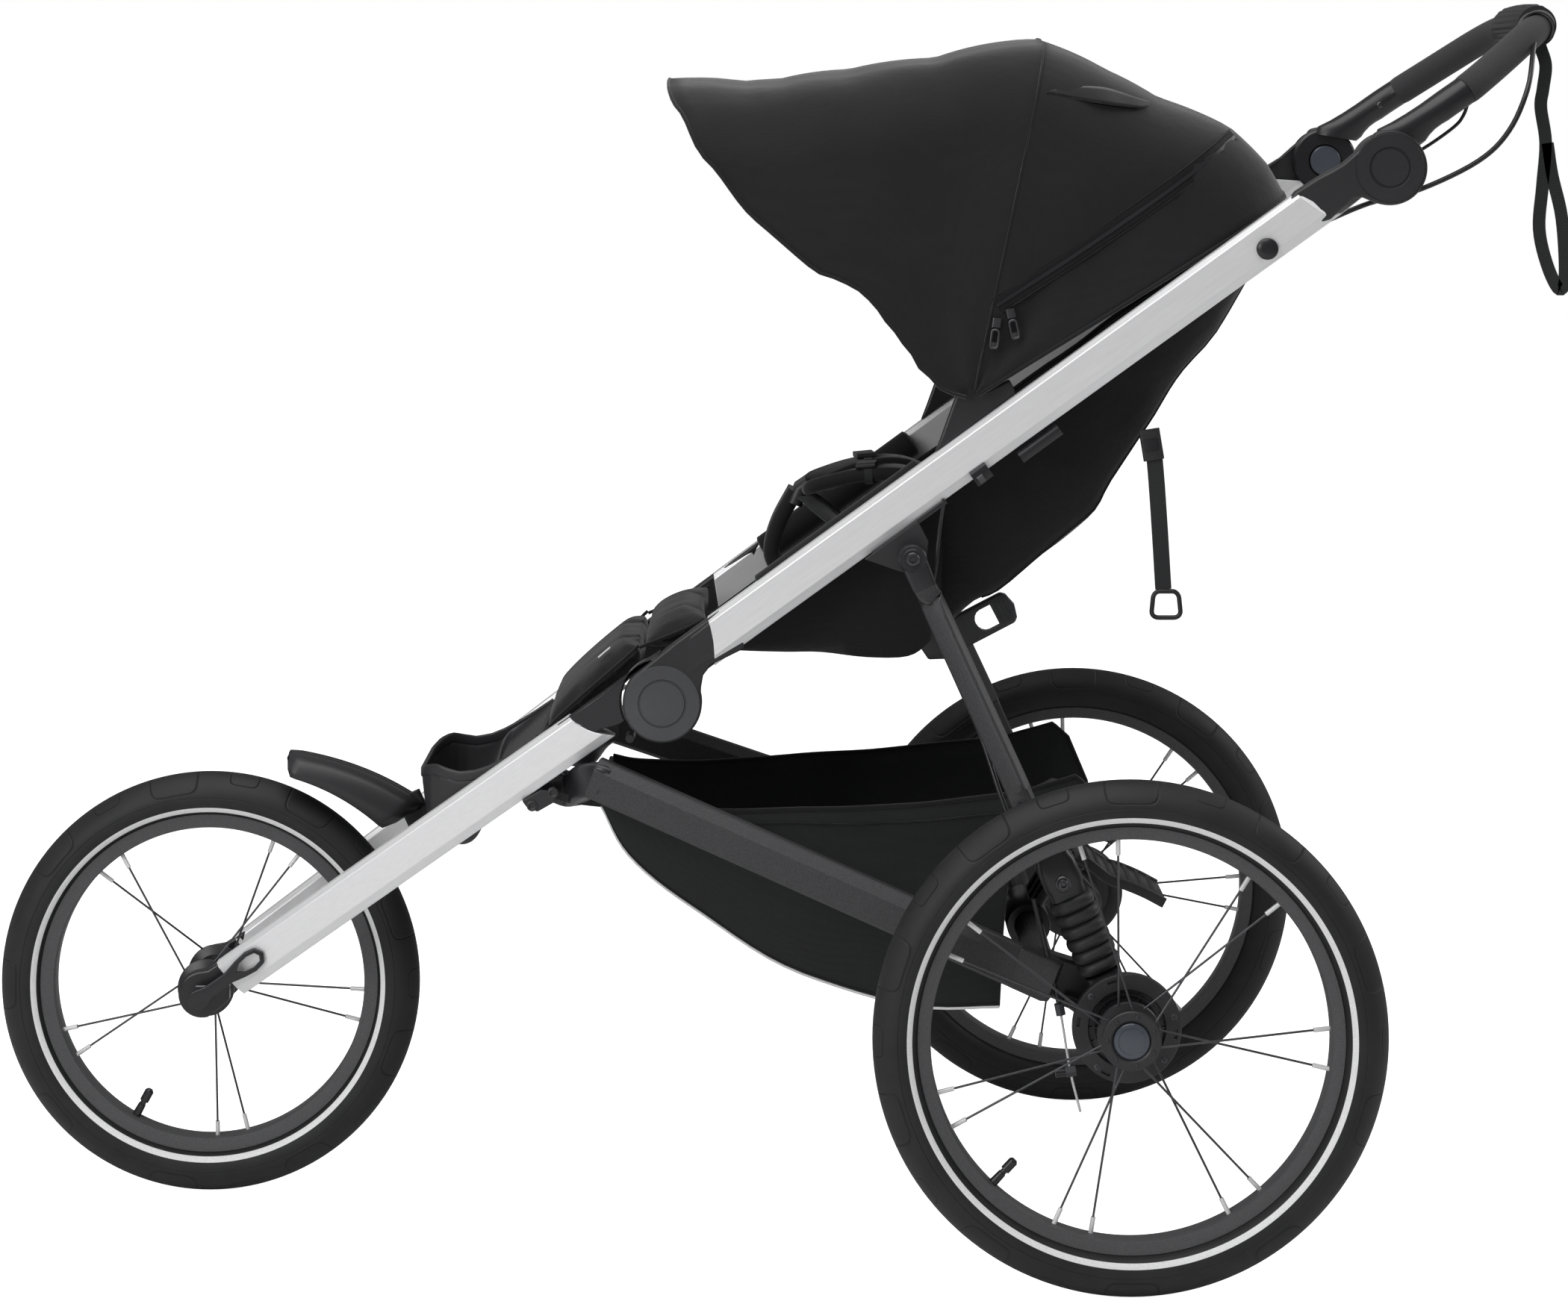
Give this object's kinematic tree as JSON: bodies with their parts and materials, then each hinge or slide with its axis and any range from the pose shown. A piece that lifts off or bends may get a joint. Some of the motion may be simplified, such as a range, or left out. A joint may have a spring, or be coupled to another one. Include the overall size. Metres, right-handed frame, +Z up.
{
  "type": "jogging stroller",
  "caption": "Folding three-wheel jogging stroller with spoked wheels, sprung rear axle, sunshade, reclining seat, cargo basket and tilting handlebar.",
  "frame": {"origin": "on the ground, at the middle of the overall length and width", "axes": "+Z up, -X forward (front wheel at negative X), +Y to the stroller's right"},
  "size_m": [1.4738, 0.687, 1.1315],
  "materials": {
    "satin_aluminium": "satin anodised",
    "grey_coated_tube": "speckled dark grey powder coat",
    "black_plastic": "fine grained",
    "black_tube": "matt black",
    "grey_plastic": "semi gloss",
    "tyre_rubber": "matt with a pale stripe",
    "grey_rim": "speckled matt",
    "dark_steel": "dark plated",
    "grip_foam": "closed cell foam",
    "boot_rubber": "matt",
    "black_fabric": "woven",
    "charcoal_fabric": "woven"
  },
  "bodies": {
    "lower_frame": {"lower_rail_left": "satin_aluminium", "lower_rail_right": "satin_aluminium", "front_dropout_left": "black_plastic", "front_dropout_right": "black_plastic", "lower_hinge_left": "black_plastic", "lower_hinge_right": "black_plastic", "hinge_cross_tube": "grey_coated_tube", "front_axle": "dark_steel", "front_fender": "black_plastic", "footwell": "black_plastic", "leg_rest": "black_fabric", "cargo_basket": "charcoal_fabric", "storage_catch": "black_plastic"},
    "front_wheel": {"front_tyre": "tyre_rubber", "front_rim": "grey_rim", "front_hub_and_spokes": "dark_steel"},
    "quick_release": {"quick_release_lever": "grey_plastic"},
    "upper_frame": {"upper_hinge_left": "black_plastic", "upper_hinge_right": "black_plastic", "upper_rail_left": "satin_aluminium", "upper_rail_right": "satin_aluminium", "strut_bracket_left": "black_plastic", "strut_bracket_right": "black_plastic", "handle_bracket_left": "black_plastic", "handle_bracket_right": "black_plastic", "canopy_clip_left": "black_plastic", "canopy_clip_right": "black_plastic", "seat_pan": "black_fabric", "canopy_rear": "black_fabric"},
    "seat_recline": {"seat_back": "black_fabric", "harness": "charcoal_fabric", "recline_strap": "charcoal_fabric"},
    "fold_release": {"fold_handle": "black_plastic"},
    "canopy_middle": {"canopy_bow_middle": "black_plastic"},
    "canopy_visor": {"canopy_bow_front": "black_plastic", "canopy_front": "black_fabric"},
    "handlebar": {"handlebar": "black_tube", "handle_grip_left": "grip_foam", "handle_grip_right": "grip_foam"},
    "hand_brake": {"hand_brake_twist": "black_plastic"},
    "handle_button_left": {"handle_button_left": "grey_plastic"},
    "handle_button_right": {"handle_button_right": "grey_plastic"},
    "rear_frame": {"rear_stay_left": "grey_coated_tube", "rear_stay_right": "grey_coated_tube", "rear_cross_tube": "grey_coated_tube"},
    "parking_brake": {"brake_pedal": "black_plastic"},
    "struts": {"strut_left": "grey_coated_tube", "strut_right": "grey_coated_tube", "bellows_left": "boot_rubber", "bellows_right": "boot_rubber"},
    "swing_arm_left": {"swing_arm_left": "black_plastic"},
    "swing_arm_right": {"swing_arm_right": "black_plastic"},
    "rear_wheel_left": {"rear_left_tyre": "tyre_rubber", "rear_left_rim": "grey_rim", "rear_left_hub_and_spokes": "dark_steel"},
    "rear_wheel_right": {"rear_right_tyre": "tyre_rubber", "rear_right_rim": "grey_rim", "rear_right_hub_and_spokes": "dark_steel"},
    "hub_button_left": {"hub_button_left": "grey_plastic"},
    "hub_button_right": {"hub_button_right": "grey_plastic"}
  },
  "joints": [
    {"name": "frame_fold", "type": "hinge", "parent": "lower_frame", "child": "upper_frame", "pos_m": [-0.1014, 0, 0.4906], "axis": [0, 1, 0], "range_deg": [0, 114], "deforming": ["leg_rest", "cargo_basket", "seat_pan", "canopy_rear", "seat_back", "harness", "recline_strap"]},
    {"name": "rear_frame_fold", "type": "hinge", "parent": "lower_frame", "child": "rear_frame", "pos_m": [-0.2196, 0, 0.4104], "axis": [0, 1, 0], "range_deg": [0, 80.04]},
    {"name": "strut_fold", "type": "hinge", "parent": "upper_frame", "child": "struts", "pos_m": [0.1264, 0, 0.6238], "axis": [0, 1, 0], "range_deg": [-57.01, 0], "deforming": ["bellows_left", "bellows_right"]},
    {"name": "front_wheel_spin", "type": "hinge", "parent": "lower_frame", "child": "front_wheel", "pos_m": [-0.5374, 0, 0.1995], "axis": [0, 1, 0], "continuous": true},
    {"name": "quick_release_flip", "type": "hinge", "parent": "lower_frame", "child": "quick_release", "pos_m": [-0.5374, -0.0745, 0.1995], "axis": [0.5897, 0, -0.8076], "range_deg": [0, 170]},
    {"name": "seat_recline", "type": "hinge", "parent": "upper_frame", "child": "seat_recline", "pos_m": [0.1854, 0, 0.606], "axis": [0, 1, 0], "range_deg": [0, 25]},
    {"name": "fold_release_pull", "type": "hinge", "parent": "upper_frame", "child": "fold_release", "pos_m": [0.1484, 0, 0.517], "axis": [0, -1, 0], "range_deg": [0, 12]},
    {"name": "canopy_visor_swing", "type": "hinge", "parent": "upper_frame", "child": "canopy_visor", "pos_m": [0.1804, 0, 0.77], "axis": [0, 1, 0], "range_deg": [0, 50], "deforming": ["canopy_front"]},
    {"name": "canopy_middle_swing", "type": "hinge", "parent": "upper_frame", "child": "canopy_middle", "pos_m": [0.1804, 0, 0.77], "axis": [0, 1, 0], "range_deg": [0, 20.01]},
    {"name": "handlebar_tilt", "type": "hinge", "parent": "upper_frame", "child": "handlebar", "pos_m": [0.5534, 0, 0.979], "axis": [0, 1, 0], "range_deg": [-35, 45]},
    {"name": "hand_brake_turn", "type": "hinge", "parent": "handlebar", "child": "hand_brake", "pos_m": [0.7154, 0, 1.11], "axis": [0, 1, 0], "range_deg": [0, 40]},
    {"name": "handle_button_left_push", "type": "slide", "parent": "handlebar", "child": "handle_button_left", "axis": [0, -1, 0], "range_m": [0, 0.004]},
    {"name": "handle_button_right_push", "type": "slide", "parent": "handlebar", "child": "handle_button_right", "axis": [0, 1, 0], "range_m": [0, 0.004]},
    {"name": "parking_brake_press", "type": "hinge", "parent": "rear_frame", "child": "parking_brake", "pos_m": [0.2404, 0, 0.261], "axis": [0, 1, 0], "range_deg": [0, 16]},
    {"name": "suspension_left", "type": "hinge", "parent": "rear_frame", "child": "swing_arm_left", "pos_m": [0.2404, -0.247, 0.261], "axis": [0, -1, 0], "range_deg": [0, 10], "deforming": ["bellows_left"]},
    {"name": "suspension_right", "type": "hinge", "parent": "rear_frame", "child": "swing_arm_right", "pos_m": [0.2404, 0.247, 0.261], "axis": [0, -1, 0], "range_deg": [0, 10], "deforming": ["bellows_right"]},
    {"name": "rear_wheel_left_spin", "type": "hinge", "parent": "swing_arm_left", "child": "rear_wheel_left", "pos_m": [0.3104, -0.32, 0.2245], "axis": [0, 1, 0], "continuous": true},
    {"name": "rear_wheel_right_spin", "type": "hinge", "parent": "swing_arm_right", "child": "rear_wheel_right", "pos_m": [0.3104, 0.32, 0.2245], "axis": [0, 1, 0], "continuous": true},
    {"name": "hub_button_left_push", "type": "slide", "parent": "rear_wheel_left", "child": "hub_button_left", "axis": [0, 1, 0], "range_m": [0, 0.003]},
    {"name": "hub_button_right_push", "type": "slide", "parent": "rear_wheel_right", "child": "hub_button_right", "axis": [0, -1, 0], "range_m": [0, 0.003]}
  ],
  "couplings": [
    {"joint": "rear_frame_fold", "follows": "frame_fold", "ratio": 0.702},
    {"joint": "strut_fold", "follows": "frame_fold", "ratio": -0.5},
    {"joint": "canopy_middle_swing", "follows": "canopy_visor_swing", "ratio": 0.4}
  ]
}
